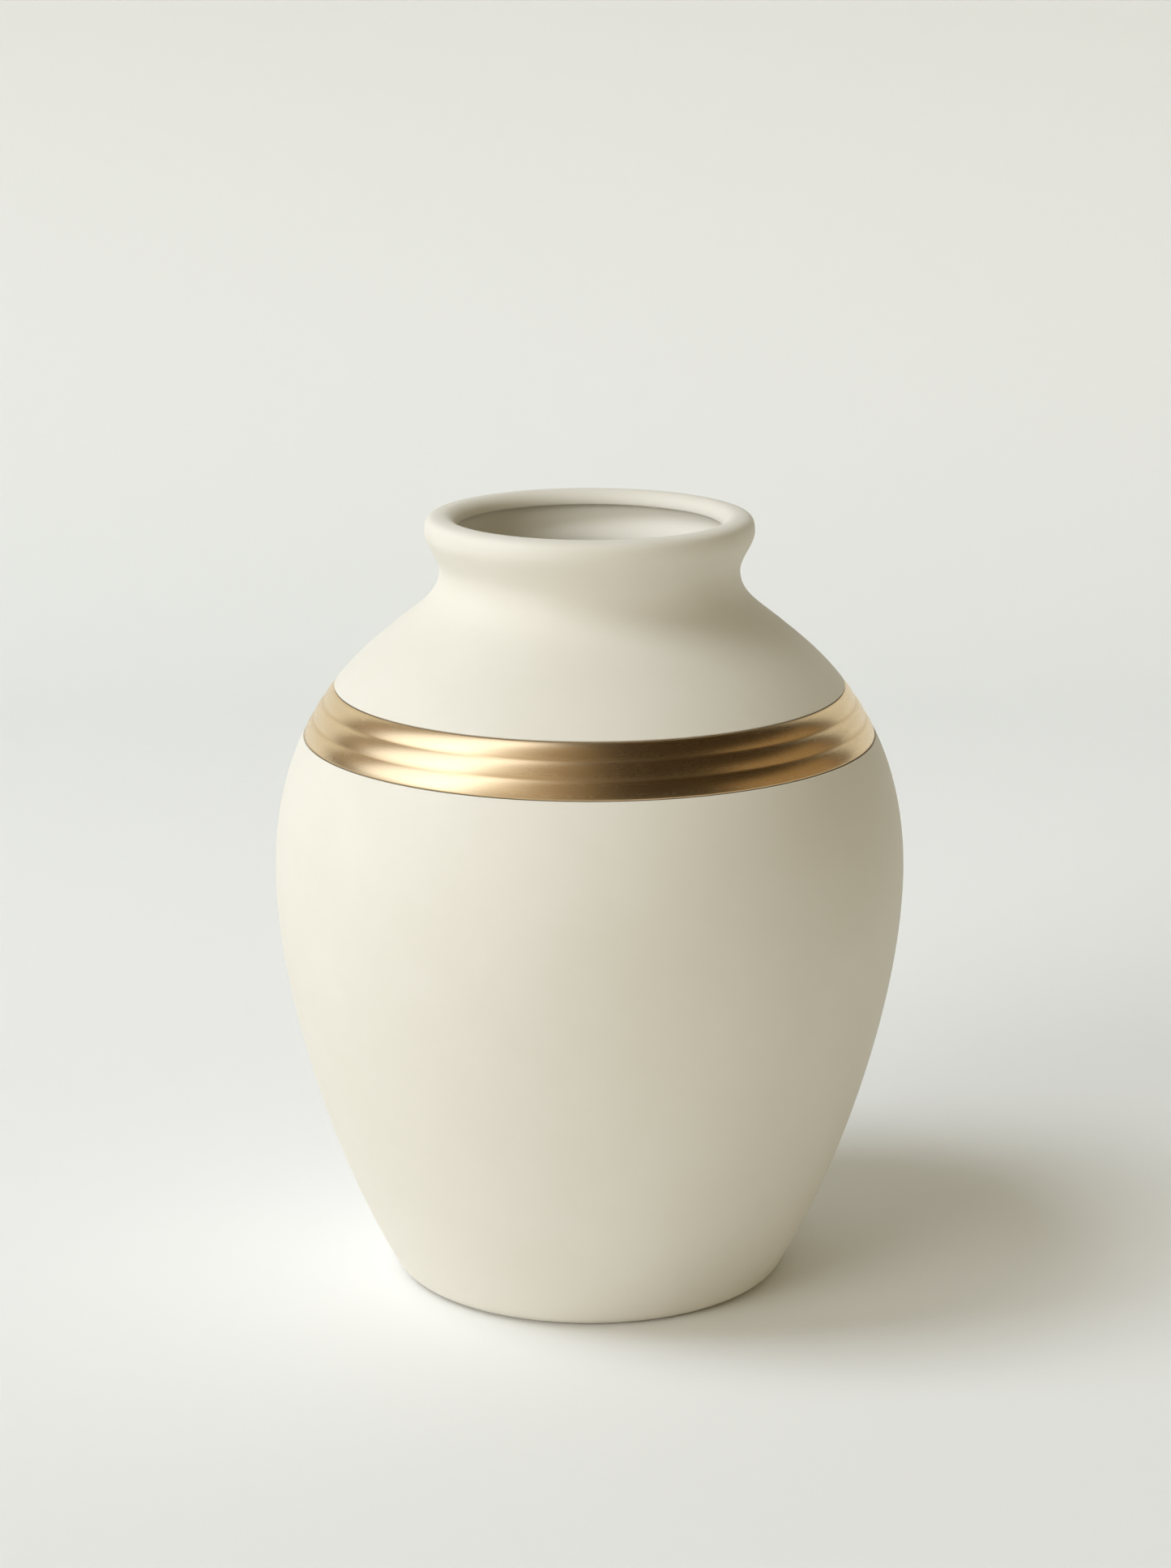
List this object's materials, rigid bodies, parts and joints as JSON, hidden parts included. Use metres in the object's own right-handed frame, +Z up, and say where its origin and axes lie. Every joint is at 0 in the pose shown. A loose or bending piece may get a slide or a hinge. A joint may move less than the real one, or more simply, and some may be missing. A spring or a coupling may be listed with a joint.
{
  "type": "vase",
  "caption": "Round-bellied matte porcelain vase with a short neck, a rolled lip and a reeded gold band let into its shoulder.",
  "frame": {"origin": "centre of the foot, on the surface that the vase stands on", "axes": "+Z up the vase's axis; the band's seam faces +Y, so -Y is the front"},
  "size_m": [0.2274, 0.2274, 0.28],
  "materials": {
    "porcelain": "matte biscuit, very fine grain, warm off-white",
    "gold": "satin gold, fine lines running round the band",
    "bond": "cured amber adhesive film"
  },
  "bodies": {
    "root": {"porcelain_body": "porcelain", "gold_band": "gold", "band_bond": "bond"}
  },
  "joints": []
}
